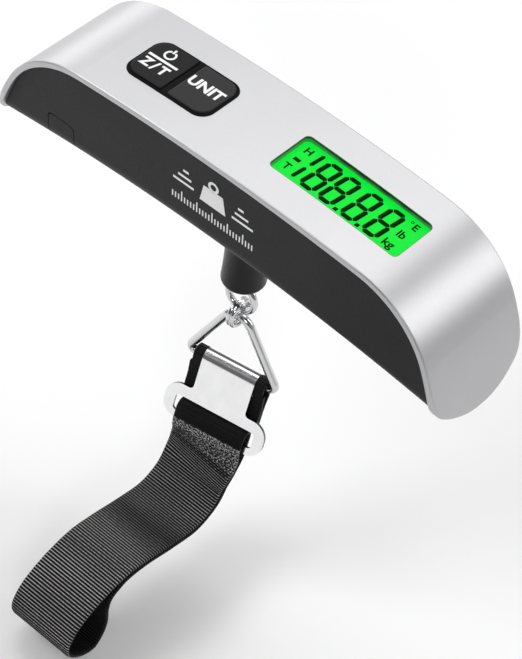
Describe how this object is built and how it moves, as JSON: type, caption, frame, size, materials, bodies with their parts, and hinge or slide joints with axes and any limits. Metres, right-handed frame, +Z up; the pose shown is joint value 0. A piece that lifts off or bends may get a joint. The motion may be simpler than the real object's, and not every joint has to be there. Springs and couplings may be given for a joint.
{
  "type": "digital luggage scale",
  "caption": "Digital luggage scale: a curved silver and black housing with a green display and keys, over a swivel eye, rings, a hook plate and a black webbing strap loop.",
  "frame": {"origin": "middle of the housing on the load axis, level with the two end tips of the housing", "axes": "+X along the housing towards the display, +Y towards the back (the strap hangs forward, towards -Y), +Z up"},
  "size_m": [0.1498, 0.0872, 0.1451],
  "materials": {
    "cover_paint": "satin silver",
    "shell_black": "fine matte",
    "door_black": "fine matte",
    "key_black": "gloss",
    "bezel_black": "gloss",
    "lens_clear": "clear",
    "lcd_glass": "clear",
    "backlight_green": "lit",
    "frame_black": "matte",
    "strip_rubber": "matte",
    "board_green": "gloss",
    "chip_black": "matte",
    "switch_metal": "brushed",
    "plunger_black": "matte",
    "beam_alu": "machined",
    "gauge_foil": "gloss",
    "screw_steel": "brushed",
    "lead_vinyl": "smooth",
    "sleeve_black": "matte",
    "ring_chrome": "polished",
    "nickel": "nickel plated",
    "cell_steel": "polished",
    "plate_chrome": "polished",
    "webbing_black": "woven webbing"
  },
  "bodies": {
    "housing": {"top_cover": "cover_paint", "lower_housing": "shell_black", "housing_screws": "screw_steel", "display_lens": "lens_clear", "lcd_panel": "lcd_glass", "backlight": "backlight_green", "lcd_frame": "frame_black", "elastomer_strips": "strip_rubber", "key_bezel": "bezel_black", "tact_switches": "switch_metal", "circuit_board": "board_green", "board_screws": "screw_steel", "controller_chip": "chip_black", "board_components": "chip_black", "battery_cell": "cell_steel", "battery_holder": "frame_black", "negative_contact": "nickel", "positive_contact": "nickel", "load_cell": "beam_alu", "strain_gauges": "gauge_foil", "load_cell_screws": "screw_steel", "sensor_leads": "lead_vinyl", "battery_leads": "lead_vinyl", "load_sleeve": "sleeve_black", "thrust_washer": "screw_steel"},
    "power_button": {"power_key": "key_black", "power_plunger": "plunger_black"},
    "unit_button": {"unit_key": "key_black", "unit_plunger": "plunger_black"},
    "door": {"battery_door": "door_black"},
    "swivel": {"swivel_eye": "ring_chrome", "lock_nut": "screw_steel"},
    "split": {"split_ring": "ring_chrome"},
    "triangle": {"triangle_ring": "ring_chrome"},
    "hook": {"hook_plate": "plate_chrome", "strap_anchor": "webbing_black"},
    "strap": {"strap_loop": "webbing_black"}
  },
  "joints": [
    {"name": "power_press", "type": "slide", "parent": "housing", "child": "power_button", "axis": [0, 0, -1], "range_m": [0, 0.0005], "stiffness_N_per_m": 600},
    {"name": "unit_press", "type": "slide", "parent": "housing", "child": "unit_button", "axis": [0, 0, -1], "range_m": [0, 0.0005], "stiffness_N_per_m": 600},
    {"name": "door_hinge", "type": "hinge", "parent": "housing", "child": "door", "pos_m": [-0.05, 0.0116, 0.0045], "axis": [1, 0, 0], "range_deg": [0, 75]},
    {"name": "eye_swivel", "type": "hinge", "parent": "housing", "child": "swivel", "pos_m": [0, 0, -0.015], "axis": [0, 0, 1], "continuous": true},
    {"name": "split_swing", "type": "hinge", "parent": "swivel", "child": "split", "pos_m": [0, 0, -0.02545], "axis": [1, 0, 0], "range_deg": [-20, 20]},
    {"name": "triangle_swing", "type": "hinge", "parent": "split", "child": "triangle", "pos_m": [0, -0.0001, -0.03085], "axis": [-0.0349, 0.9994, 0], "range_deg": [-15, 15]},
    {"name": "hook_swing", "type": "hinge", "parent": "triangle", "child": "hook", "pos_m": [0, 0, -0.0494], "axis": [0.9848, 0.1736, 0], "range_deg": [-28, 40]},
    {"name": "strap_swing", "type": "hinge", "parent": "hook", "child": "strap", "pos_m": [0.00146, -0.0083, -0.06687], "axis": [0.9848, 0.1736, 0], "range_deg": [-10, 35]}
  ]
}
